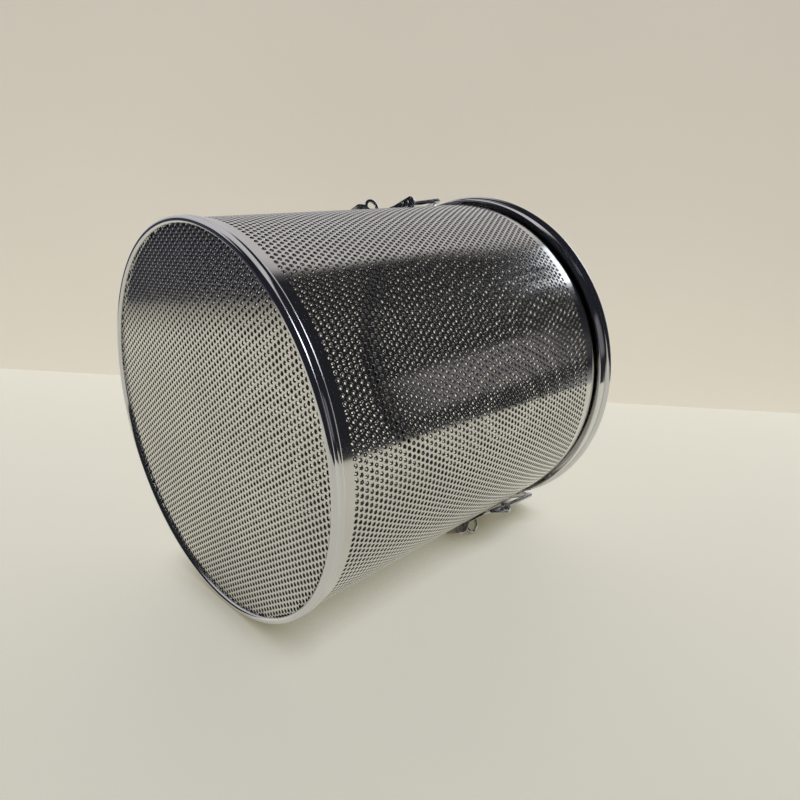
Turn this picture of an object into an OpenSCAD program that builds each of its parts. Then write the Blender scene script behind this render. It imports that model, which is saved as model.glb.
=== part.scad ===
// Perforated cheese mold: a drum with a beaded base ring and a lid held down
// by two over-centre draw latches. Z runs up the drum axis and Z = 0 is the
// plane the base ring stands on. Latch A is on the +X side, latch B on -X.

/* [Drum] */
// Outer diameter of the drum
drum_d = 190; // [150:1:260]
// Sheet thickness of the drum and of both discs
sheet_t = 0.8; // [0.5:0.1:1.5]
// Height of the drum's mouth above the base plane
drum_top = 194.4; // [140:0.2:260]

/* [Base] */
// Radius of the rolled bead the mold stands on
foot_bead_r = 1.6; // [1.2:0.1:2.4]
// Radius of the small second bead above it
step_bead_r = 1.35; // [0.8:0.05:1.6]
// Wall thickness of the base ring outside the drum
ring_wall = 0.9; // [0.6:0.1:1.5]
// Height of the top edge of the base ring
ring_h = 6; // [5.4:0.1:9]

/* [Lid] */
// Open radial gap between the drum and the lid skirt
skirt_gap = 1.6; // [1.3:0.1:3]
// Axial length of the skirt below the lid web
skirt_drop = 5.5; // [5.5:0.5:14]
// Depth of the lid's locating wall inside the drum
plug_drop = 6; // [3:0.5:12]
// Radial clearance of the locating wall in the drum
plug_gap = 0.4; // [0.2:0.1:0.8]
// Radius of the rolled bead round the lid
lid_bead_r = 1.5; // [1:0.1:2]

/* [Latches] */
// Width of the lever over its cheeks
lever_w = 26; // [24:1:30]
// Sheet thickness of levers and ears
latch_t = 1; // [0.8:0.1:1.1]
// Height of the lever pivot above the drum surface
pivot_out = 6; // [5.8:0.1:6.3]
// Distance of the lever pivot below the drum's mouth
pivot_below_mouth = 25.2; // [24:0.1:40]
// Diameter of the bail wire
wire_d = 2.8; // [2.2:0.1:2.8]
// Height of the keeper lip above the drum surface
lip_out = 7; // [6.6:0.1:7.1]

/* [Hidden] */
$fn = 64;

steel = [0.78, 0.79, 0.80];
satin = [0.70, 0.71, 0.73];
wire_steel = [0.62, 0.63, 0.66];
bright = [0.85, 0.86, 0.88];

drum_r = drum_d / 2;
fit_gap = 0.05;
round_fn = 240;

// Base
// The bead stands on a narrow flat, cut this far into its round
foot_flat = 0.1;
foot_bead_at = [drum_r - 0.4, foot_bead_r - foot_flat];
step_bead_at = [drum_r, ring_h - step_bead_r];
drum_low = 2 * foot_bead_r - foot_flat;
disc_z = 1.9;
base_disc_r = drum_r - 1.6;

// Lid
lid_t = 1;
web_z = drum_top + 0.1;
skirt_in_r = drum_r + skirt_gap;
skirt_r = skirt_in_r + lid_t;
skirt_bottom = web_z - skirt_drop;
plug_r = drum_r - sheet_t - plug_gap;
web_in_r = plug_r - 3;
lid_bead_at = [skirt_r + 0.2, web_z + lid_t + lid_bead_r + 0.3];
lid_disc_r = lid_bead_at[0] - lid_bead_r - 0.2;

// Latch, as [distance from the drum axis, height] in the latch plane
pivot = [drum_r + pivot_out, drum_top - pivot_below_mouth];
bail_hole = pivot + [-0.7, -4.8];
hook_bar = pivot + [1.4, 31];
bail_vec = hook_bar - bail_hole;
bail_len = norm(bail_vec);
bail_lean = atan2(bail_vec[0], bail_vec[1]);

plate_t = 1.2;
plate_top = drum_r + plate_t;
ear_t = 1;
cheek_gap = 0.3;
cheek_mid = lever_w / 2 - latch_t / 2;
ear_out = lever_w / 2 - latch_t - cheek_gap;
ear_mid = ear_out - ear_t / 2;
ear_r = 2.6;
plate_w = 2 * ear_out;
plate_low = pivot[1] - 38.7;
plate_high = pivot[1] + 5.1;

lever_in = drum_r + 2.5;
lever_out = lever_in + latch_t;
cheek_r = 3;
cheek_foot = [lever_out, pivot[1] - 15.9];
cheek_heel = [drum_r + 1.5, pivot[1] - 16.7];
neck_half = 9;
neck_end = cheek_foot[1];
neck_start = neck_end - 2;
tip_half = 8.5;
tip_round_r = 4;
// Middle of the lever sheet, from the flat over the plate out to the finger tip
tip_path = [
  [lever_in + latch_t / 2, cheek_foot[1] + latch_t / 4],
  [lever_in + latch_t / 2, pivot[1] - 31.2],
  [lever_in + latch_t / 2 + 3, pivot[1] - 35.4],
  [lever_in + latch_t / 2 + 4.2, pivot[1] - 38.7]
];
tip_z = tip_path[3][1] - latch_t / 2;

staple_z = pivot[1] - 22.2;
staple_r = 5.2;
staple_wire = 1.9;
staple_t = 1.6;
staple_spring = drum_r + 8;
slot_w = 4.4;
slot_len = 11.8;

rivet_r = 1.5;
rivet_head_r = 2.6;
rivet_head_h = 0.8;
plate_rivet_z = [pivot[1] - 34.4, pivot[1] - 8.9];
pin_r = 1.2;
pin_head_r = 1.9;
pin_head_h = 0.9;

wire_r = wire_d / 2;
leg_mid = ear_out - ear_t - 0.8 - wire_r;
wire_bend = 1.8;
wire_end = lever_w / 2 + 0.6;

keeper_t = 1;
keeper_w = 2 * (leg_mid - wire_r - 0.5);
tongue_half = keeper_w / 2;
tongue_low = bail_hole[1] - 5.8;
lip_t = 1.4;
lip_seat = 1.6;
lip_gap = 0.25;
lip_top = drum_r + lip_out;
lip_z = hook_bar[1] - wire_r - lip_gap - lip_t;
keeper_low = skirt_bottom + 0.6;
lip_root_z = skirt_bottom + 4;
keeper_rivet_r = 1.2;
keeper_rivet_z = (keeper_low + lip_root_z) / 2;

// Outer tangent point of a circle seen from a point; side is +1 or -1
function tangent_point(from, centre, r, side) =
  let (
    v = centre - from,
    a = atan2(v[1], v[0]) + side * asin(r / norm(v)),
    reach = sqrt(v * v - r * r)
  )
  from + reach * [cos(a), sin(a)];

// Mirror a latch part to the opposite side of the drum
module side_b() {
  rotate([0, 0, 180]) children();
}

// Extrude an outline of the latch plane by t, centred y from that plane
module across(y, t) {
  translate([0, y, 0]) rotate([90, 0, 0]) linear_extrude(t, center = true) children();
}

// Repeat a part on both sides of the latch plane
module both_sides() {
  children();
  mirror([0, 1, 0]) children();
}

// Radial cylinder standing at a height on the latch centreline
module radial_pin(from_r, to_r, z, r) {
  translate([from_r, 0, z]) rotate([0, 90, 0]) cylinder(h = to_r - from_r, r = r);
}

module drum_shell() {
  color(steel) difference() {
    rotate_extrude($fn = round_fn) translate([drum_r - sheet_t, drum_low])
      square([sheet_t, drum_top - drum_low]);
    for (z = plate_rivet_z, turn = [0, 180])
      rotate([0, 0, turn]) radial_pin(drum_r - 3, drum_r + 3, z, rivet_r);
  }
}

module base_ring() {
  color(bright) rotate_extrude($fn = round_fn) difference() {
    union() {
      translate(foot_bead_at) circle(r = foot_bead_r);
      translate(step_bead_at) circle(r = step_bead_r);
      translate([drum_r - sheet_t, foot_bead_r]) square([sheet_t + ring_wall, ring_h - foot_bead_r - 0.3]);
    }
    translate([drum_r - sheet_t - 1, drum_low]) square([sheet_t + 1, ring_h]);
    translate([0, -1]) square([drum_d, 1]);
    translate([0, disc_z]) square([base_disc_r, sheet_t]);
  }
}

module base_disc() {
  color(steel) translate([0, 0, disc_z]) cylinder(h = sheet_t, r = base_disc_r, $fn = round_fn);
}

module lid_ring() {
  color(bright) difference() {
    rotate_extrude($fn = round_fn) {
      translate([skirt_in_r, skirt_bottom]) square([lid_t, lid_bead_at[1] - skirt_bottom]);
      translate([web_in_r, web_z]) square([skirt_r - web_in_r, lid_t]);
      translate([plug_r - lid_t, web_z - plug_drop]) square([lid_t, plug_drop + lid_t]);
      translate(lid_bead_at) circle(r = lid_bead_r);
    }
    for (turn = [0, 180])
      rotate([0, 0, turn]) radial_pin(skirt_in_r - 1, skirt_r + 1, keeper_rivet_z, keeper_rivet_r);
  }
}

module lid_disc() {
  color(steel) translate([0, 0, web_z + lid_t]) cylinder(h = sheet_t, r = lid_disc_r, $fn = round_fn);
}

module latch_plate() {
  color(satin) difference() {
    union() {
      translate([drum_r - 2, -plate_w / 2, plate_low])
        cube([2 + plate_t, plate_w, plate_high - plate_low]);
      both_sides() across(ear_mid, ear_t) {
        translate(pivot) circle(r = ear_r);
        translate([drum_r - 1, pivot[1] - ear_r]) square([pivot_out + 1, 2 * ear_r]);
      }
    }
    translate([0, 0, plate_low - 1]) cylinder(h = plate_high - plate_low + 2, r = drum_r, $fn = round_fn);
    for (z = plate_rivet_z) radial_pin(drum_r - 3, drum_r + 3, z, rivet_r);
    both_sides() across(ear_mid, ear_t + 1) translate(pivot) circle(r = pin_r);
  }
}

module plate_rivets() {
  color(bright) for (z = plate_rivet_z) {
    radial_pin(drum_r - sheet_t - 1, plate_top + 0.2, z, rivet_r);
    radial_pin(plate_top, plate_top + rivet_head_h, z, rivet_head_r);
    difference() {
      radial_pin(drum_r - sheet_t - 2, drum_r - sheet_t + 0.5, z, rivet_head_r - 0.4);
      translate([0, 0, z - 5]) difference() {
        cylinder(h = 10, r = drum_r + 5);
        translate([0, 0, -1]) cylinder(h = 12, r = drum_r - sheet_t, $fn = round_fn);
      }
    }
  }
}

// Padlock staple: a sheet arch standing through the lever's slot
module staple() {
  inner_r = staple_r - staple_wire;
  color(satin) across(0, staple_t) difference() {
    union() {
      translate([staple_spring, staple_z]) circle(r = staple_r);
      translate([plate_top, staple_z - staple_r]) square([staple_spring - plate_top, 2 * staple_r]);
    }
    translate([staple_spring, staple_z]) circle(r = inner_r);
    translate([plate_top - 1, staple_z - inner_r]) square([staple_spring - plate_top + 1, 2 * inner_r]);
  }
}

// Two short rivets join the lever's cheeks to the ears of the plate
module lever_pivots() {
  color(bright) both_sides() {
    across((ear_out - ear_t + lever_w / 2) / 2, lever_w / 2 - ear_out + ear_t) translate(pivot) circle(r = pin_r);
    across(lever_w / 2 + fit_gap + pin_head_h / 2, pin_head_h) translate(pivot) circle(r = pin_head_r);
    across(lever_w / 2 + fit_gap / 2, fit_gap + 0.02) translate(pivot) circle(r = pin_r);
    across(ear_out - ear_t - 0.2, 0.4) translate(pivot) circle(r = pin_r + 0.5);
  }
}

// Where the wedge face of the lever runs onto the round end at the pivot
wedge_top = tangent_point(cheek_foot, pivot, cheek_r, -1);
wedge_run = (wedge_top - cheek_foot) / norm(wedge_top - cheek_foot);
wedge_in = latch_t * [-wedge_run[1], wedge_run[0]];

// Outline of one lever cheek: a wedge rising to a round end at the pivot
module cheek_outline() {
  difference() {
    union() {
      translate(pivot) circle(r = cheek_r);
      polygon([
        cheek_foot,
        wedge_top,
        pivot,
        tangent_point(cheek_heel, pivot, cheek_r, 1),
        cheek_heel
      ]);
    }
    translate(pivot) circle(r = pin_r + fit_gap);
    translate(bail_hole) circle(r = wire_r + fit_gap);
  }
}

// Outline of the lever seen from outside: wide over the wedge, then neck and finger tip
module lever_outline() {
  half = lever_w / 2;
  polygon([
    [-half, pivot[1] + cheek_r], [half, pivot[1] + cheek_r], [half, neck_end], [neck_half, neck_start],
    [tip_half, tip_path[1][1]], [-tip_half, tip_path[1][1]], [-neck_half, neck_start], [-half, neck_end]
  ]);
  translate([-tip_half, tip_z + tip_round_r])
    square([2 * tip_half, tip_path[1][1] - tip_z - tip_round_r]);
  translate([tip_round_r - tip_half, tip_z]) square([2 * (tip_half - tip_round_r), tip_round_r]);
  for (side = [-1, 1])
    translate([side * (tip_half - tip_round_r), tip_z + tip_round_r]) circle(r = tip_round_r);
}

// Sheet of the lever in the latch plane: finger tip, flat and wedge face
module sheet_outline() {
  for (i = [1:len(tip_path) - 1]) {
    run = tip_path[i] - tip_path[i - 1];
    translate(tip_path[i]) circle(r = latch_t / 2);
    translate(tip_path[i - 1]) rotate(atan2(run[1], run[0]))
      translate([0, -latch_t / 2]) square([norm(run), latch_t]);
  }
  polygon([cheek_foot, wedge_top, wedge_top + wedge_in, cheek_foot + wedge_in]);
}

module lever() {
  color(steel) {
    difference() {
      intersection() {
        across(0, lever_w) sheet_outline();
        translate([drum_r, 0, 0]) rotate([90, 0, 90]) linear_extrude(20) lever_outline();
      }
      for (end = [-1, 1])
        radial_pin(lever_in - 1, lever_out + 1, staple_z + end * (slot_len - slot_w) / 2, slot_w / 2);
      translate([lever_in - 1, -slot_w / 2, staple_z - (slot_len - slot_w) / 2])
        cube([latch_t + 2, slot_w, slot_len - slot_w]);
      both_sides() translate([drum_r, tongue_half, tongue_low])
        cube([20, lever_w / 2 - tongue_half + 1, 20]);
    }
    both_sides() across(cheek_mid, latch_t) cheek_outline();
  }
}

// Wire bail in its own frame: pivot ends at the origin, hook bar up at bail_len
module bail_wire() {
  bar_half = leg_mid - wire_bend;
  translate([0, bar_half, bail_len]) rotate([90, 0, 0]) cylinder(h = 2 * bar_half, r = wire_r);
  both_sides() {
    translate([0, leg_mid, wire_bend]) cylinder(h = bail_len - 2 * wire_bend, r = wire_r);
    translate([0, bar_half, bail_len - wire_bend]) rotate([90, 0, 90])
      rotate_extrude(angle = 90) translate([wire_bend, 0]) circle(r = wire_r);
    translate([0, leg_mid + wire_bend, wire_bend]) rotate([90, 0, 90]) rotate([0, 0, 180])
      rotate_extrude(angle = 90) translate([wire_bend, 0]) circle(r = wire_r);
    translate([0, leg_mid + wire_bend, 0]) rotate([-90, 0, 0])
      cylinder(h = wire_end - leg_mid - wire_bend, r = wire_r);
  }
}

module bail() {
  color(wire_steel) translate([bail_hole[0], 0, bail_hole[1]]) rotate([0, bail_lean, 0]) bail_wire();
}

// Keeper: a saddle plate on the lid skirt, bent out past the lid bead to a lip for the bail
module keeper() {
  color(satin) difference() {
    across(0, keeper_w) polygon([
      [drum_r, keeper_low],
      [skirt_r + keeper_t, keeper_low],
      [skirt_r + keeper_t, lip_root_z],
      [lip_top, lip_z],
      [lip_top, lip_z + lip_t],
      [lip_top - lip_seat, lip_z + lip_t],
      [skirt_r, lip_root_z + keeper_t],
      [drum_r, lip_root_z + keeper_t]
    ]);
    translate([0, 0, keeper_low - 1]) cylinder(h = 20, r = skirt_r, $fn = round_fn);
    radial_pin(drum_r, lip_top, keeper_rivet_z, keeper_rivet_r);
  }
}

module keeper_rivet() {
  tail_r = keeper_rivet_r + 0.6;
  tail_top = skirt_in_r - fit_gap;
  color(bright) {
    radial_pin(tail_top - 0.6, tail_top, keeper_rivet_z, tail_r);
    radial_pin(tail_top - 0.1, skirt_r + keeper_t + 0.1, keeper_rivet_z, keeper_rivet_r);
    radial_pin(skirt_r + keeper_t, skirt_r + keeper_t + 0.6, keeper_rivet_z, tail_r);
  }
}

drum_shell();
base_ring();
base_disc();
lid_ring();
lid_disc();
latch_plate();  // latch_plate_a
plate_rivets();  // plate_rivets_a
staple();  // staple_a
lever_pivots();  // lever_pivots_a
lever();  // lever_a
bail();  // bail_a
keeper();  // keeper_a
keeper_rivet();  // keeper_rivet_a
side_b() latch_plate();  // latch_plate_b
side_b() plate_rivets();  // plate_rivets_b
side_b() staple();  // staple_b
side_b() lever_pivots();  // lever_pivots_b
side_b() lever();  // lever_b
side_b() bail();  // bail_b
side_b() keeper();  // keeper_b
side_b() keeper_rivet();  // keeper_rivet_b
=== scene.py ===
"""Looks for the perforated cheese mold: real hole meshes, rolled rings, latches and a pale studio.

The mold stands on Z = 0 in the part's frame. The main camera is rolled so that the mold lies on its
side on a table, so the scene has two floors: the table under the lying mold, seen only by the main
camera and by reflections, and a floor at Z = 0 that only the other cameras see.
Lengths are in millimetres until a mesh or an object is made; MM turns them into metres.
"""

import math

import bmesh
import bpy
import numpy as np
from mathutils import Matrix, Vector


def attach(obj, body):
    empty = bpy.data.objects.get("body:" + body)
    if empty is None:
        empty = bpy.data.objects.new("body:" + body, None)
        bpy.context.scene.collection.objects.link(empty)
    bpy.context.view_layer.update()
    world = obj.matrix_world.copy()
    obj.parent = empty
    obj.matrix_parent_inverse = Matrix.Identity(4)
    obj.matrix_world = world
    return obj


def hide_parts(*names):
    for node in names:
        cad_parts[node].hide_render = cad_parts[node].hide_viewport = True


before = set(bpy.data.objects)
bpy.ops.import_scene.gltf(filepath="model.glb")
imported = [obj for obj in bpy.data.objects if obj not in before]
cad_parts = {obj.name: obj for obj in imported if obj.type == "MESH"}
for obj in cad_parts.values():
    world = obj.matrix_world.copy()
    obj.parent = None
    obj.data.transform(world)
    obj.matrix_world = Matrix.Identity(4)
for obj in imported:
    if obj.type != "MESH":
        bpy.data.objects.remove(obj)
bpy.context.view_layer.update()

MM = 0.001

# Perforated sheet
DRUM_R = 95.0
SHEET_T = 0.8
PITCH = 3.0
HOLE_R = 1.0
HOLE_SIDES = 12
RIM_CHAMFER = 0.1
HOLES_ROUND = 199
SHEET_LONG = HOLES_ROUND * PITCH
FIRST_ROW_Z = 12.0
HOLE_ROWS = 65
DRUM_BANDS = 6
ROW_STEP = PITCH * math.sqrt(3) / 2
DRUM_LOW = 3.1
DRUM_TOP = 194.4
MARGIN_LINES = 4
HOLE_PHASE = 0.72

# Perforated discs: height of the lower face, how far out the holes go, and the turn of the hole pattern
BASE_DISC_Z = 1.9
BASE_FIELD_R = 92.6
LID_DISC_Z = 195.5
LID_FIELD_R = 95.3
DISC_LATTICE_DEG = 21.0

# Base ring: centres (r, z) and radii of its two beads, and the top of its wall against the drum
FOOT_BEAD = (94.6, 1.5)
FOOT_BEAD_R = 1.6
STEP_BEAD = (95.0, 4.65)
STEP_BEAD_R = 1.35
SEAT_Z = 4.0

# Lid ring: bead on top, skirt outside the drum, locating wall inside it, and the web between them
LID_BEAD = (97.8, 197.3)
LID_BEAD_R = 1.5
SKIRT = (96.6, 97.6)
SKIRT_LOW = 189
LOCATOR = (92.8, 93.8)
LOCATOR_LOW = 188.5
WEB = (194.5, 195.5)
WEB_INNER_R = 90.8
NECK_OUTER_Z = 195.6
NECK_INNER_Z = 196.2
SHEET_EDGE_R = 0.35

# Latch meshes: welding distance, and the angles between faces that count as flat, sharp and smooth
WELD = 0.004
FLAT_DEG = 1
SHARP_DEG = 30
SMOOTH_DEG = 40

# Main camera and the lying mold
CAMERA_AT = (-10.3, 283.3, -127.7)
CAMERA_TOWARDS = (-14.4, 58.1, 70.5)
CAMERA_LENS = 28.6
LYING_UP_DEG = 25.4


# ---------------------------------------------------------------- node helpers
class Nodes:
    """Short hand for building a shader tree."""

    def __init__(self, tree):
        self.tree = tree
        tree.nodes.clear()

    def add(self, kind, **values):
        node = self.tree.nodes.new(kind)
        for key, value in values.items():
            setattr(node, key, value)
        return node

    def link(self, source, target):
        self.tree.links.new(source, target)

    def put(self, socket, value):
        if isinstance(value, bpy.types.NodeSocket):
            self.link(value, socket)
        else:
            socket.default_value = value

    def math(self, operation, *values):
        node = self.add("ShaderNodeMath", operation=operation)
        for socket, value in zip(node.inputs, values):
            self.put(socket, value)
        return node.outputs[0]

    def vector(self, operation, *values):
        node = self.add("ShaderNodeVectorMath", operation=operation)
        for socket, value in zip(node.inputs, values):
            self.put(socket, value)
        return node.outputs["Value" if operation in ("DOT_PRODUCT", "DISTANCE") else "Vector"]

    def ramp(self, value, low, high, to_low=0.0, to_high=1.0, smooth=False):
        node = self.add("ShaderNodeMapRange")
        node.interpolation_type = "SMOOTHSTEP" if smooth else "LINEAR"
        for name, number in (("From Min", low), ("From Max", high), ("To Min", to_low), ("To Max", to_high)):
            self.put(node.inputs[name], number)
        self.put(node.inputs["Value"], value)
        return node.outputs["Result"]

    def noise(self, coords, scale, detail=4.0, roughness=0.5):
        node = self.add("ShaderNodeTexNoise")
        self.put(node.inputs["Vector"], coords)
        node.inputs["Scale"].default_value = scale
        node.inputs["Detail"].default_value = detail
        node.inputs["Roughness"].default_value = roughness
        return node.outputs["Fac"]

    def mix(self, factor, a, b):
        node = self.add("ShaderNodeMix", data_type="RGBA")
        self.put(node.inputs["Factor"], factor)
        self.put(node.inputs[6], a)
        self.put(node.inputs[7], b)
        return node.outputs[2]


def rgb(r, g, b):
    return (r, g, b, 1.0)


# ---------------------------------------------------------------- materials
DRIFT_SCALE = 22.0
WAVE_SCALE = 35.0
GRAIN_DEPTH = 0.002


def steel(name, light, dark, rough, grain_scale, grain_stretch, wave, painted_inside_shade=None):
    """Bright stainless: faint tone drift, directional grain in the roughness and a slight wave.

    rough is the range of roughness and wave the depth of the waves in millimetres.
    The last colour is a painted shade: it darkens the faces that a mesh marks with its "inner" attribute,
    standing in for the dim inside of the mold."""
    material = bpy.data.materials.new(name)
    material.use_nodes = True
    n = Nodes(material.node_tree)
    out = n.add("ShaderNodeOutputMaterial")
    shader = n.add("ShaderNodeBsdfPrincipled")
    n.link(shader.outputs[0], out.inputs["Surface"])
    place = n.add("ShaderNodeTexCoord").outputs["Object"]
    drift = n.noise(place, DRIFT_SCALE, 3.0)
    tone = n.mix(n.ramp(drift, 0.35, 0.7), dark, light)
    # Painted shade: the inner faces take a dark colour for the dim inside of the mold.
    if painted_inside_shade:
        tone = n.mix(n.add("ShaderNodeAttribute", attribute_name="inner").outputs["Fac"], tone, painted_inside_shade)
    n.put(shader.inputs["Base Color"], tone)
    shader.inputs["Metallic"].default_value = 1.0
    stretched = n.add("ShaderNodeMapping")
    stretched.inputs["Scale"].default_value = grain_stretch
    n.link(place, stretched.inputs["Vector"])
    grain = n.noise(stretched.outputs[0], grain_scale, 5.0, 0.6)
    low, high = rough
    n.put(shader.inputs["Roughness"], n.ramp(grain, 0.3, 0.75, low, high))
    bump = n.add("ShaderNodeBump")
    bump.inputs["Distance"].default_value = wave * MM
    bump.inputs["Strength"].default_value = 1.0
    n.put(bump.inputs["Height"], n.noise(place, WAVE_SCALE, 1.0))
    fine = n.add("ShaderNodeBump")
    fine.inputs["Distance"].default_value = GRAIN_DEPTH * MM
    fine.inputs["Strength"].default_value = 1.0
    n.put(fine.inputs["Height"], grain)
    n.link(bump.outputs[0], fine.inputs["Normal"])
    n.link(fine.outputs[0], shader.inputs["Normal"])
    return material


# The sheet's inner faces get a dark painted shade for the dim inside of the drum and discs.
SHEET = steel(
    "perforated_sheet", light=rgb(0.76, 0.75, 0.72), dark=rgb(0.69, 0.68, 0.66), rough=(0.08, 0.16),
    grain_scale=300.0, grain_stretch=(1, 1, 0.08), wave=0.02, painted_inside_shade=rgb(0.20, 0.20, 0.20),
)
RING = steel(
    "polished_ring", light=rgb(0.80, 0.80, 0.81), dark=rgb(0.70, 0.70, 0.72), rough=(0.05, 0.13),
    grain_scale=240.0, grain_stretch=(1, 1, 3), wave=0.03,
)
LATCH = steel(
    "latch_sheet", light=rgb(0.72, 0.72, 0.72), dark=rgb(0.60, 0.60, 0.61), rough=(0.12, 0.26),
    grain_scale=400.0, grain_stretch=(1, 1, 0.15), wave=0.02,
)
WIRE = steel(
    "bail_wire", light=rgb(0.62, 0.62, 0.63), dark=rgb(0.50, 0.50, 0.52), rough=(0.16, 0.30),
    grain_scale=500.0, grain_stretch=(1, 1, 0.1), wave=0.01,
)
RIVET = steel(
    "rivet_steel", light=rgb(0.84, 0.84, 0.85), dark=rgb(0.74, 0.74, 0.76), rough=(0.06, 0.14),
    grain_scale=600.0, grain_stretch=(1, 1, 1), wave=0.01,
)


# ---------------------------------------------------------------- mesh helpers
def make_object(name, verts, groups, material, body, node, normals=None, uv=None,
                inner=None, smooth_deg=None):
    """Adds a mesh from vertices in millimetres and groups of faces with one side count each.

    It rides on a body and stands for a CAD node. inner marks how far each vertex is on the inner face."""
    mesh = bpy.data.meshes.new(name)
    corners = np.concatenate([g.ravel() for g in groups]).astype(np.int32)
    counts = np.concatenate([np.full(len(g), g.shape[1], np.int32) for g in groups])
    starts = np.concatenate([[0], np.cumsum(counts)[:-1]]).astype(np.int32)
    mesh.vertices.add(len(verts))
    mesh.vertices.foreach_set("co", (np.asarray(verts) * MM).astype(np.float32).ravel())
    mesh.loops.add(len(corners))
    mesh.loops.foreach_set("vertex_index", corners)
    mesh.polygons.add(len(counts))
    mesh.polygons.foreach_set("loop_start", starts)
    mesh.polygons.foreach_set("use_smooth", np.ones(len(counts), bool))
    mesh.update(calc_edges=True)
    if uv is not None:
        layer = mesh.uv_layers.new(name="OFBake")
        layer.data.foreach_set("uv", uv[corners].astype(np.float32).ravel())
    if inner is not None:
        marks = mesh.attributes.new("inner", "FLOAT", "POINT")
        marks.data.foreach_set("value", inner.astype(np.float32))
    if normals is not None:
        mesh.normals_split_custom_set_from_vertices(normals.astype(np.float32))
    if smooth_deg is not None:
        mesh.set_sharp_from_angle(angle=math.radians(smooth_deg))
    mesh.materials.append(material)
    made = bpy.data.objects.new(name, mesh)
    bpy.context.scene.collection.objects.link(made)
    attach(made, body)
    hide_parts(node)


def arc(centre, radius, start_deg, end_deg, steps):
    """Points (r, z) along an arc, both ends included."""
    turns = np.radians(np.linspace(start_deg, end_deg, steps + 1))
    return [(centre[0] + radius * math.cos(t), centre[1] + radius * math.sin(t)) for t in turns]


def revolve(name, profile, material, body, node, steps=300, smooth_deg=32):
    """Adds a closed (r, z) outline turned about Z."""
    points = np.array(profile, float)
    turns = np.linspace(0, 2 * math.pi, steps, endpoint=False)
    r, t = points[:, 0][None, :], turns[:, None]
    z = np.broadcast_to(points[:, 1], (steps, len(points)))
    verts = np.stack([r * np.cos(t), r * np.sin(t), z], -1).reshape(-1, 3)
    ring = np.arange(steps)[:, None] * len(points)
    following = (np.arange(steps)[:, None] + 1) % steps * len(points)
    a = np.arange(len(points))[None, :]
    b = (a + 1) % len(points)
    quads = np.stack([ring + a, following + a, following + b, ring + b], -1).reshape(-1, 4)
    make_object(name, verts, [quads], material, body, node, smooth_deg=smooth_deg)


# ---------------------------------------------------------------- perforated sheet
def cell_pattern():
    """On (u, v), the six corners of one cell and the circle of radius 1 that its hole is drawn from."""
    hexagon = np.radians(30 + 60 * np.arange(6))
    circle = np.radians(360 / HOLE_SIDES * np.arange(HOLE_SIDES))
    outline = PITCH / math.sqrt(3) * np.stack([np.cos(hexagon), np.sin(hexagon)], 1)
    ring = np.stack([np.cos(circle), np.sin(circle)], 1)
    return outline, ring


def cell_faces(first_hex, first_ring):
    """Triangles between the six corners and the ring of a cell, anticlockwise seen from outside."""
    faces = []
    for k in range(6):
        corner, mid = first_hex + k, 1 + 2 * k
        ring = [first_ring + (mid + d) % HOLE_SIDES for d in (-1, 0, 1)]
        faces.append([ring[0], corner, ring[1]])
        faces.append([ring[1], corner, ring[2]])
        faces.append([ring[2], corner, first_hex + (k + 1) % 6])
    return np.array(faces)


def hole_cells(centres, bottom=None, top=None):
    """Flat perforated sheet as (u, v, -depth below the outer face): verts, normals and triangles.

    bottom and top are the v of straight edges, which the outer corners of the end rows are moved to."""
    outline, ring = cell_pattern()
    outer_ring = ring * (HOLE_R + RIM_CHAMFER)
    inner_ring = ring * HOLE_R
    outwards, inwards = [0.0, 0.0, 1.0], [0.0, 0.0, -1.0]
    slanted = np.column_stack([-ring, np.ones(HOLE_SIDES)]) / math.sqrt(2)
    level = np.column_stack([-ring, np.zeros(HOLE_SIDES)])
    layers = [  # (u, v) points, depth and normals of each run of vertices in a cell
        (outline, 0.0, np.tile(outwards, (6, 1))),
        (outer_ring, 0.0, np.tile(outwards, (HOLE_SIDES, 1))),
        (outer_ring, 0.0, slanted),
        (inner_ring, RIM_CHAMFER, slanted),
        (inner_ring, RIM_CHAMFER, level),
        (inner_ring, SHEET_T, level),
        (inner_ring, SHEET_T, np.tile(inwards, (HOLE_SIDES, 1))),
        (outline, SHEET_T, np.tile(inwards, (6, 1))),
    ]
    starts = np.cumsum([0] + [len(p) for p, _, _ in layers])
    uv = np.concatenate([p for p, _, _ in layers])
    depth = np.concatenate([np.full(len(p), d) for p, d, _ in layers])
    normal = np.concatenate([m for _, _, m in layers])
    faces = [cell_faces(starts[0], starts[1]), cell_faces(starts[7], starts[6])[:, ::-1]]
    j = np.arange(HOLE_SIDES)
    k = (j + 1) % HOLE_SIDES
    for upper, lower in ((starts[2], starts[3]), (starts[4], starts[5])):
        faces.append(np.stack([upper + j, lower + k, lower + j], 1))
        faces.append(np.stack([upper + j, upper + k, lower + k], 1))
    faces = np.concatenate(faces)
    count = starts[-1]
    points = centres[:, None, :] + uv[None]
    heights = centres[:, 1]
    if bottom is not None:
        square_off(points, heights < heights.min() + ROW_STEP / 2, corner_ids(starts, (3, 4, 5)), bottom)
    if top is not None:
        square_off(points, heights > heights.max() - ROW_STEP / 2, corner_ids(starts, (0, 1, 2)), top)
    verts = np.dstack([points, np.broadcast_to(-depth, points.shape[:2])]).reshape(-1, 3)
    normals = np.tile(normal, (len(centres), 1))
    offsets = np.arange(len(centres))[:, None, None] * count
    return verts, normals, (faces[None] + offsets).reshape(-1, 3)


def square_off(points, in_row, corners, v):
    """Moves the given corners of the cells of one row onto a straight edge."""
    cells = points[in_row]
    cells[:, corners, 1] = v
    points[in_row] = cells


def corner_ids(starts, which):
    """Indexes, within a cell, of the given hexagon corners on both faces of the sheet."""
    return [starts[s] + c for s in (0, 7) for c in which]


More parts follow.
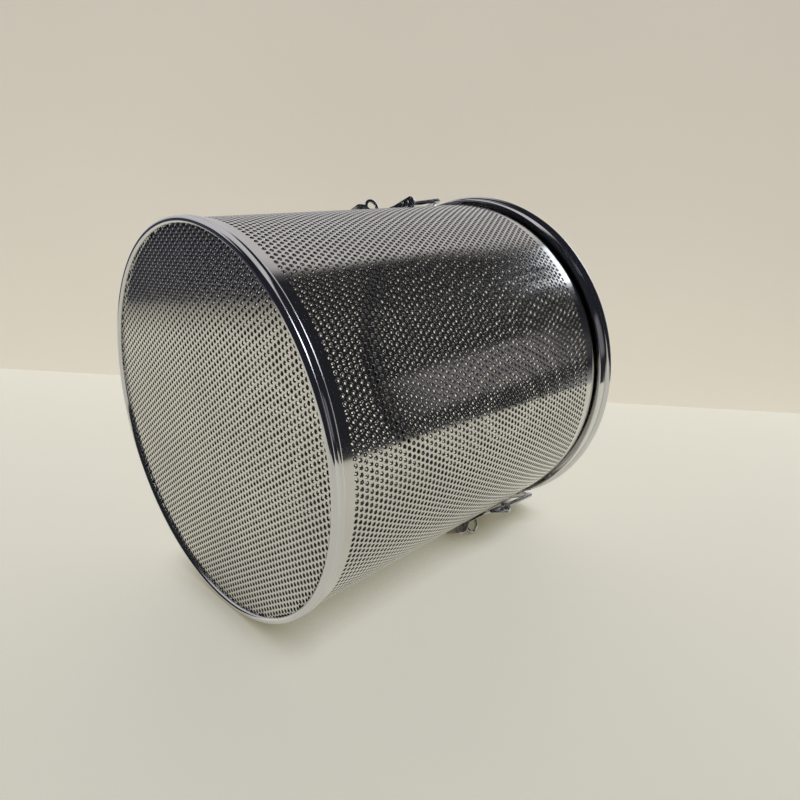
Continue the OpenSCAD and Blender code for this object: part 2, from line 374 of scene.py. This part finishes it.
def roll(verts, normals):
    """Bends sheet on (u, v, -depth) round the drum: u along the circumference, v up."""
    turn = verts[:, 0] / SHEET_LONG * 2 * math.pi
    radial = np.stack([np.cos(turn), np.sin(turn), np.zeros(len(turn))], 1)
    around = np.stack([-np.sin(turn), np.cos(turn), np.zeros(len(turn))], 1)
    place = radial * (DRUM_R + verts[:, 2])[:, None]
    place[:, 2] = verts[:, 1]
    up = np.array([0.0, 0.0, 1.0])
    turned = around * normals[:, :1] + up * normals[:, 1:2] + radial * normals[:, 2:3]
    return place, turned


def strip(u_steps, low, high, depth, facing):
    """A plain strip of one face of the sheet between two heights, for the drum's margins."""
    u = np.linspace(0, SHEET_LONG, u_steps + 1)
    rows = np.linspace(low, high, MARGIN_LINES)
    grid = np.stack(np.meshgrid(u, rows, indexing="ij"), -1).reshape(-1, 2)
    verts = np.column_stack([grid, np.full(len(grid), -depth)])
    normals = np.tile([0.0, 0.0, facing], (len(grid), 1))
    n = len(rows)
    i = (np.arange(u_steps)[:, None] * n + np.arange(n - 1)[None]).ravel()
    quads = np.stack([i, i + n, i + n + 1, i + 1], 1)
    return verts, normals, quads if facing > 0 else quads[:, ::-1]


def edge_strip(u_steps, v, facing):
    """The thin edge of the sheet at one end of the drum."""
    u = np.linspace(0, SHEET_LONG, u_steps + 1)
    faces = [np.column_stack([u, np.full_like(u, v), np.full_like(u, -depth)]) for depth in (0, SHEET_T)]
    verts = np.concatenate(faces)
    normals = np.tile([0.0, facing, 0.0], (len(verts), 1))
    i = np.arange(u_steps)
    quads = np.stack([i, i + 1, i + 2 + u_steps, i + 1 + u_steps], 1)
    return verts, normals, quads[:, ::-1] if facing > 0 else quads


def margin(low, high, end, facing):
    """Both faces of a plain margin between two heights, and the sheet's edge at one end."""
    steps = HOLES_ROUND * 2
    outer_face = strip(steps, low, high, 0, 1)
    inner_face = strip(steps, low, high, SHEET_T, -1)
    return [outer_face, inner_face, edge_strip(steps, end, facing)]


UV_MARGIN = 0.01


def sheet_uv(verts, u_span, v_low, v_span):
    """Bake layout: outer face in the left half of the image, inner face in the right half."""
    u = (verts[:, 0] % u_span) / u_span
    v = (verts[:, 1] - v_low) / v_span
    side = np.where(verts[:, 2] < -SHEET_T / 2, 0.5, 0.0)
    across = side + UV_MARGIN + (0.5 - 2 * UV_MARGIN) * u
    return np.column_stack([across, UV_MARGIN + (1 - 2 * UV_MARGIN) * v])


def inner_side(verts):
    """1 on the inner face of the sheet, falling to 0 at its outer face."""
    return np.clip(-verts[:, 2] / SHEET_T, 0, 1)


def drum_band(index, rows):
    """One band of the drum wall, with the plain margin if it is the first or the last."""
    first, last = rows[0] == 0, rows[-1] == HOLE_ROWS - 1
    u, v = [], []
    for row in rows:
        u.append((np.arange(HOLES_ROUND) + HOLE_PHASE + (row % 2) / 2) * PITCH)
        v.append(np.full(HOLES_ROUND, FIRST_ROW_Z + row * ROW_STEP))
    centres = np.column_stack([np.concatenate(u), np.concatenate(v)])
    reach = PITCH / math.sqrt(3)
    low = centres[:, 1].min() - reach
    high = centres[:, 1].max() + reach
    verts, normals, triangles = hole_cells(centres, low if first else None, high if last else None)
    extra = []
    if first:
        extra += margin(DRUM_LOW, low, DRUM_LOW, -1)
    if last:
        extra += margin(high, DRUM_TOP, DRUM_TOP, 1)
    parts, faces = [(verts, normals)], [triangles]
    count = len(verts)
    for more_verts, more_normals, quads in extra:
        parts.append((more_verts, more_normals))
        faces.append(quads + count)
        count += len(more_verts)
    flat = np.concatenate([p[0] for p in parts])
    uv = sheet_uv(flat, SHEET_LONG + PITCH, flat[:, 1].min(), np.ptp(flat[:, 1]))
    place, turned = roll(flat, np.concatenate([p[1] for p in parts]))
    make_object(
        f"drum_band_{index}", place, faces, SHEET, "drum", "drum_shell", turned, uv,
        inner_side(flat),
    )


def perforated_disc(name, z, field_r, outside_up, body, node):
    """A flat perforated disc, in two halves, whose outer face looks up or down."""
    rows = int(field_r / ROW_STEP) + 1
    columns = int(field_r / PITCH) + 1
    centres = []
    for j in range(-rows, rows + 1):
        centres += [((i + (j % 2) / 2) * PITCH, j * ROW_STEP) for i in range(-columns - 1, columns + 1)]
    centres = np.array([c for c in centres if math.hypot(*c) <= field_r])
    flip = np.array([1, 1, 1] if outside_up else [1, -1, -1])
    turn = math.radians(DISC_LATTICE_DEG)
    spin = np.array([[math.cos(turn), math.sin(turn), 0], [-math.sin(turn), math.cos(turn), 0], [0, 0, 1]])
    reach = field_r + PITCH
    middle = -ROW_STEP / 2
    for number, half in enumerate((centres[:, 1] > middle, centres[:, 1] < middle), 1):
        verts, normals, triangles = hole_cells(centres[half])
        uv = sheet_uv(verts + [reach, 0, 0], 2 * reach, verts[:, 1].min(), np.ptp(verts[:, 1]))
        place = verts * flip @ spin + [0, 0, z + (SHEET_T if outside_up else 0)]
        turned = normals * flip @ spin
        make_object(
            f"{name}_{number}", place, [triangles], SHEET, body, node, turned, uv,
            inner_side(verts),
        )


BAND_ROWS = math.ceil(HOLE_ROWS / DRUM_BANDS)
for band in range(DRUM_BANDS):
    drum_band(band + 1, range(HOLE_ROWS)[band * BAND_ROWS:(band + 1) * BAND_ROWS])
perforated_disc("base_disc_sheet", BASE_DISC_Z, BASE_FIELD_R, False, "drum", "base_disc")
perforated_disc("lid_disc_sheet", LID_DISC_Z, LID_FIELD_R, True, "lid", "lid_disc")


# ---------------------------------------------------------------- rings
def base_ring_profile():
    """Rolled foot bead, a groove, the second bead and the wall that laps the drum."""
    points = [(DRUM_R, SEAT_Z)]
    points += arc(FOOT_BEAD, FOOT_BEAD_R, 95, 225, 14)
    points += arc(FOOT_BEAD, FOOT_BEAD_R, 250, 290, 4)
    points += arc(FOOT_BEAD, FOOT_BEAD_R, 305, 390, 12)
    points += arc(STEP_BEAD, STEP_BEAD_R, -45, 90, 14)
    return [(r, max(z, 0.0)) for r, z in points]


def rounded_foot(walls, low, steps):
    """The lower edge of a sheet wall between two radii, with both corners rounded, from inside out."""
    inner, outer = walls
    z = low + SHEET_EDGE_R
    points = arc((inner + SHEET_EDGE_R, z), SHEET_EDGE_R, 180, 270, steps)
    return points + arc((outer - SHEET_EDGE_R, z), SHEET_EDGE_R, 270, 360, steps)


def lid_ring_profile():
    """Skirt with a rounded lower edge, neck, rolled bead on top, web and locating wall."""
    web_low, web_top = WEB
    points = [(SKIRT[0], web_low)]
    points += rounded_foot(SKIRT, SKIRT_LOW, 4)
    points += [(SKIRT[1], NECK_OUTER_Z)]
    points += arc(LID_BEAD, LID_BEAD_R, -88, 214, 30)
    points += [(SKIRT[0], NECK_INNER_Z), (SKIRT[0], web_top), (WEB_INNER_R, web_top), (WEB_INNER_R, web_low)]
    points += [(LOCATOR[0], web_low)]
    points += rounded_foot(LOCATOR, LOCATOR_LOW, 3)
    points += [(LOCATOR[1], web_low)]
    return points


revolve("base_ring_rolled", base_ring_profile(), RING, "drum", "base_ring")
revolve("lid_ring_spun", lid_ring_profile(), RING, "lid", "lid_ring")


# ---------------------------------------------------------------- latches
def softened(node, body, material, bevel):
    """Adds the shape of a CAD node as one welded mesh with its sharp edges rounded."""
    work = bmesh.new()
    work.from_mesh(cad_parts[node].data)
    bmesh.ops.remove_doubles(work, verts=work.verts, dist=WELD * MM)
    bmesh.ops.dissolve_limit(work, angle_limit=math.radians(FLAT_DEG), verts=work.verts, edges=work.edges)
    corner = math.radians(SHARP_DEG)
    sharp = [e for e in work.edges if len(e.link_faces) == 2 and e.calc_face_angle(0) > corner]
    bmesh.ops.bevel(
        work, geom=sharp, offset=bevel * MM, offset_type="OFFSET", segments=3, profile=0.5,
        affect="EDGES", clamp_overlap=True,
    )
    for face in work.faces:
        face.smooth = True
    mesh = bpy.data.meshes.new(node + "_mesh")
    work.to_mesh(mesh)
    work.free()
    mesh.set_sharp_from_angle(angle=math.radians(SMOOTH_DEG))
    mesh.materials.clear()
    mesh.materials.append(material)
    made = bpy.data.objects.new(node + "_soft", mesh)
    bpy.context.scene.collection.objects.link(made)
    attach(made, body)
    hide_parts(node)


for side in "ab":
    softened(f"latch_plate_{side}", "drum", LATCH, 0.2)
    softened(f"staple_{side}", "drum", LATCH, 0.35)
    softened(f"lever_{side}", f"lever_{side}", LATCH, 0.25)
    softened(f"keeper_{side}", "lid", LATCH, 0.2)
    softened(f"plate_rivets_{side}", "drum", RIVET, 0.3)
    softened(f"lever_pivots_{side}", "drum", RIVET, 0.35)
    softened(f"keeper_rivet_{side}", "lid", RIVET, 0.25)
    softened(f"bail_{side}", f"bail_{side}", WIRE, 0.12)


# ---------------------------------------------------------------- stage
def lying_axes():
    """The direction up through the lying mold, the table's up and along directions and a point on it."""
    turn = math.radians(LYING_UP_DEG)
    plumb = Vector((math.cos(turn), math.sin(turn), 0))
    foot = -plumb * (FOOT_BEAD[0] + FOOT_BEAD_R) + Vector((0, 0, FOOT_BEAD[1]))
    lid = -plumb * (LID_BEAD[0] + LID_BEAD_R) + Vector((0, 0, LID_BEAD[1]))
    along = (lid - foot).normalized()
    across = along.cross(plumb).normalized()
    up = across.cross(along).normalized()
    return plumb, up, along, foot


MOLD_HALF = 98
MOLD_MID = Vector((0, 0, MOLD_HALF))
PLUMB, TABLE_UP, TABLE_ALONG, TABLE_POINT = lying_axes()
CAMERA = Vector(CAMERA_AT)
HEADING = Vector(CAMERA_TOWARDS) - CAMERA
HEADING = (HEADING - HEADING.project(TABLE_UP)).normalized()
RIGHT = HEADING.cross(TABLE_UP).normalized()


# How near a camera ray has to start to the main camera to count as its own, in millimetres
SAME_CAMERA = 20.0
# Share of its own colour a stage surface gives off, which evens out its shading
STAGE_GLOW = 0.67
# The thin shadow where the mold meets the table: its reach, its shade, and how far from the mold's
# middle it starts and stops fading out
CONTACT_REACH = 22.0
CONTACT_SHADE = rgb(0.20, 0.18, 0.10)
SHADE_ROUND_MOLD = (170.0, 240.0)
# How far left of the mold the table fades into the dark room, where only reflections see it
DUSK = (560.0, 850.0)
DUSK_SHADE = rgb(0.06, 0.058, 0.06)


def only_main_camera(n, shader, seen_by_others):
    """Makes a shader clear to some camera rays, told apart by where they start.

    With seen_by_others only the main camera looks through it; otherwise every other camera does."""
    geometry = n.add("ShaderNodeNewGeometry")
    path = n.add("ShaderNodeLightPath")
    back = n.add("ShaderNodeVectorMath", operation="SCALE")
    n.link(geometry.outputs["Incoming"], back.inputs[0])
    n.link(path.outputs["Ray Length"], back.inputs["Scale"])
    origin = n.vector("ADD", geometry.outputs["Position"], back.outputs[0])
    away = n.vector("DISTANCE", origin, tuple(CAMERA * MM))
    main = n.math("LESS_THAN", away, SAME_CAMERA * MM)
    camera_ray = path.outputs["Is Camera Ray"]
    if seen_by_others:
        keep = n.math("SUBTRACT", 1.0, n.math("MULTIPLY", camera_ray, main))
    else:
        keep = n.math("MAXIMUM", n.math("SUBTRACT", 1.0, camera_ray), main)
    clear = n.add("ShaderNodeBsdfTransparent")
    mix = n.add("ShaderNodeMixShader")
    n.link(keep, mix.inputs[0])
    n.link(clear.outputs[0], mix.inputs[1])
    n.link(shader, mix.inputs[2])
    return mix.outputs[0]


def stage_material(name, light, dark, rough, seen_by_others, glow=STAGE_GLOW, albedo=1.0, dusk=False):
    """A pale matt surface that glows in its own colour and takes a thin shadow round the mold.

    glow is the share of its colour it gives off and albedo the share it reflects light with; dusk
    fades it out to the left."""
    material = bpy.data.materials.new(name)
    material.use_nodes = True
    n = Nodes(material.node_tree)
    out = n.add("ShaderNodeOutputMaterial")
    shader = n.add("ShaderNodeBsdfPrincipled")
    place = n.add("ShaderNodeTexCoord").outputs["Object"]
    tone = n.noise(place, 4.0, 3.0)
    colour = n.mix(n.ramp(tone, 0.3, 0.7), dark, light)
    nook = n.add("ShaderNodeAmbientOcclusion", samples=8)
    nook.inputs["Distance"].default_value = CONTACT_REACH * MM
    position = n.add("ShaderNodeNewGeometry").outputs["Position"]
    away = n.vector("DISTANCE", position, tuple(MOLD_MID * MM))
    open_air = n.ramp(nook.outputs["AO"], 0.1, 0.9)
    far_off = n.ramp(away, SHADE_ROUND_MOLD[0] * MM, SHADE_ROUND_MOLD[1] * MM)
    colour = n.mix(n.math("MAXIMUM", open_air, far_off), CONTACT_SHADE, colour)
    if dusk:
        leftwards = n.vector("DOT_PRODUCT", position, tuple(-RIGHT))
        colour = n.mix(n.ramp(leftwards, DUSK[0] * MM, DUSK[1] * MM), colour, DUSK_SHADE)
    n.put(shader.inputs["Base Color"], n.mix(albedo, rgb(0, 0, 0), colour))
    n.put(shader.inputs["Emission Color"], colour)
    shader.inputs["Emission Strength"].default_value = glow
    shader.inputs["Roughness"].default_value = rough
    n.link(only_main_camera(n, shader.outputs[0], seen_by_others), out.inputs["Surface"])
    return material


def stage_plane(name, centre, u, v, half_u, half_v, material):
    """A flat rectangle of the stage, centred at a point and spanned by two directions."""
    mesh = bpy.data.meshes.new(name)
    corners = [(-1, -1), (1, -1), (1, 1), (-1, 1)]
    verts = [(centre + u * half_u * i + v * half_v * j) * MM for i, j in corners]
    mesh.from_pydata(verts, [], [(0, 1, 2, 3)])
    mesh.materials.append(material)
    made = bpy.data.objects.new(name, mesh)
    bpy.context.scene.collection.objects.link(made)
    return made


TABLE = stage_material(
    "table", light=rgb(0.70, 0.685, 0.605), dark=rgb(0.685, 0.67, 0.59), rough=0.45, seen_by_others=False,
    dusk=True,
)
WALL = stage_material(
    "wall", light=rgb(0.66, 0.615, 0.53), dark=rgb(0.645, 0.60, 0.515), rough=0.8, seen_by_others=False,
)
FLOOR = stage_material(
    "floor", light=rgb(0.70, 0.68, 0.62), dark=rgb(0.67, 0.65, 0.59), rough=0.6, seen_by_others=True,
    glow=0.95, albedo=0.212,
)

# Ends of the line where the wall meets the table, at the left and right of the picture
WALL_LEFT = Vector((151.4, -545.1, 34.7))
WALL_RIGHT = Vector((-146.9, 65.1, 549.2))
WALL_ALONG = (WALL_RIGHT - WALL_LEFT).normalized()
WALL_HALF = (1500, 500)
TABLE_HALF = (675, 900)
FLOOR_HALF = 1500

wall_mid = (WALL_LEFT + WALL_RIGHT) / 2 + TABLE_UP * WALL_HALF[1]
table_mid = TABLE_POINT + TABLE_ALONG * MOLD_HALF - HEADING * 100 - RIGHT * 175
stage_plane("table_top", table_mid, RIGHT, HEADING, *TABLE_HALF, TABLE)
wall = stage_plane("wall_sheet", wall_mid, WALL_ALONG, TABLE_UP, *WALL_HALF, WALL)
wall.visible_glossy = False
upright_floor = stage_plane(
    "upright_floor", Vector((0, 0, 0)), Vector((1, 0, 0)), Vector((0, 1, 0)), FLOOR_HALF, FLOOR_HALF, FLOOR
)
for ray in ("visible_diffuse", "visible_glossy", "visible_transmission", "visible_shadow"):
    setattr(upright_floor, ray, False)


# ---------------------------------------------------------------- world and lights
# What reflections see, in degrees of azimuth from the camera's heading and of elevation, with the
# half widths of the soft borders
ROOM_DARK = rgb(0.018, 0.019, 0.024)
PALE_ROOM = {"az": (-62, 64), "el": (-30, 58), "soft": (6, 6), "colour": rgb(0.60, 0.585, 0.59)}
GREY_PANEL = {"az": (78, 92), "el": (-3, 15), "soft": (2, 2), "colour": rgb(0.16, 0.155, 0.165)}
DIM_CORNER = {"az": (-84, -62), "el": (-14, 2), "soft": (4, 3), "colour": rgb(0.045, 0.048, 0.07)}
WINDOW = {"az": (43, 64), "el": (20, 34.1), "soft": (1, 0.3), "colour": rgb(3.2, 3.4, 3.8)}
# The window's upper and lower edges bow down by this much per square degree from its middle
WINDOW_BOW = 0.013
WINDOW_MIDDLE = 42.0
# The pale room's sides lean by this share of the elevation and waver by up to this many degrees
LEAN = 0.6
WAVER = 4.0
# The soft dome that lights the stage, and the backdrop that other cameras see past the floor
DOME_AXIS = (TABLE_UP * 0.7 - HEADING * 0.8 + RIGHT * 0.1).normalized()
DOME_DARK = rgb(0.01, 0.01, 0.01)
DOME_BRIGHT = rgb(0.11, 0.11, 0.11)
BACKDROP = rgb(0.60, 0.56, 0.47)


def paint_world():
    """A room painted by direction for reflections, and an even pale sky for soft shade."""
    world = bpy.data.worlds.new("room")
    bpy.context.scene.world = world
    world.use_nodes = True
    world.cycles.sampling_method = "NONE"
    n = Nodes(world.node_tree)
    out = n.add("ShaderNodeOutputWorld")
    sky = n.add("ShaderNodeBackground")
    n.link(sky.outputs[0], out.inputs["Surface"])
    ray = n.add("ShaderNodeTexCoord").outputs["Generated"]
    ahead = n.vector("DOT_PRODUCT", ray, tuple(HEADING))
    right = n.vector("DOT_PRODUCT", ray, tuple(RIGHT))
    up = n.vector("DOT_PRODUCT", ray, tuple(TABLE_UP))
    azimuth = n.math("MULTIPLY", n.math("ARCTAN2", right, ahead), 180 / math.pi)
    elevation = n.math("MULTIPLY", n.math("ARCSINE", up), 180 / math.pi)
    waver = n.ramp(n.noise(ray, 3.0, 2.0), 0.3, 0.7, -WAVER, WAVER)
    leaning = n.math("ADD", n.math("ADD", azimuth, waver), n.math("MULTIPLY", elevation, LEAN))
    off_middle = n.math("SUBTRACT", azimuth, WINDOW_MIDDLE)
    bowed = n.math("ADD", elevation, n.math("MULTIPLY", WINDOW_BOW, n.math("POWER", off_middle, 2.0)))

    def within(value, span, soft):
        """1 inside a span, with soft borders."""
        low, high = span
        return n.math(
            "MULTIPLY",
            n.ramp(value, low - soft, low + soft, smooth=True),
            n.ramp(value, high + soft, high - soft, smooth=True),
        )

    def paint(colour, area, across, height):
        """Lays an area's colour over another, by the given azimuth and elevation."""
        soft_sides, soft_ends = area["soft"]
        sides = within(across, area["az"], soft_sides)
        ends = within(height, area["el"], soft_ends)
        return n.mix(n.math("MULTIPLY", sides, ends), colour, area["colour"])

    colour = paint(ROOM_DARK, PALE_ROOM, leaning, elevation)
    colour = paint(colour, GREY_PANEL, azimuth, elevation)
    colour = paint(colour, DIM_CORNER, azimuth, elevation)
    colour = paint(colour, WINDOW, azimuth, bowed)
    facing = n.vector("DOT_PRODUCT", ray, tuple(DOME_AXIS))
    dome = n.mix(n.ramp(facing, 0.25, 0.95, smooth=True), DOME_DARK, DOME_BRIGHT)
    path = n.add("ShaderNodeLightPath")
    colour = n.mix(path.outputs["Is Camera Ray"], colour, BACKDROP)
    n.link(n.mix(path.outputs["Is Diffuse Ray"], colour, dome), sky.inputs["Color"])
    sky.inputs["Strength"].default_value = 1.0


def soft_light(name, at, towards, size, power, colour):
    """Adds a rectangular area lamp, in metres and watts, that neither cameras nor reflections see."""
    lamp = bpy.data.lights.new(name, "AREA")
    lamp.shape = "RECTANGLE"
    lamp.size, lamp.size_y = size
    lamp.energy = power
    lamp.color = colour
    made = bpy.data.objects.new(name, lamp)
    bpy.context.scene.collection.objects.link(made)
    made.location = at * MM
    made.rotation_euler = (towards - at).to_track_quat("-Z", "Y").to_euler()
    made.visible_camera = False
    made.visible_glossy = False


paint_world()
LAMP_AT = MOLD_MID + TABLE_UP * 1100 - RIGHT * 200 - HEADING * 300
LAMP_SIZE = (1.4, 1.4)
soft_light("ceiling", LAMP_AT, MOLD_MID, LAMP_SIZE, power=0.45, colour=(1, 1, 1))


# ---------------------------------------------------------------- camera
def add_camera():
    """The photo's camera, rolled so that up in the picture is up through the lying mold."""
    lens = bpy.data.cameras.new("main")
    lens.sensor_width = 36.0
    lens.lens = CAMERA_LENS
    lens.clip_start = 0.01
    lens.clip_end = 20.0
    made = bpy.data.objects.new("main", lens)
    bpy.context.scene.collection.objects.link(made)
    view = (Vector(CAMERA_TOWARDS) - CAMERA).normalized()
    side = view.cross(PLUMB).normalized()
    top = side.cross(view)
    turn = Matrix((side, top, -view)).transposed().to_4x4()
    made.matrix_world = Matrix.Translation(CAMERA * MM) @ turn
    bpy.context.scene.camera = made


add_camera()
bpy.context.scene.view_settings.view_transform = "Standard"
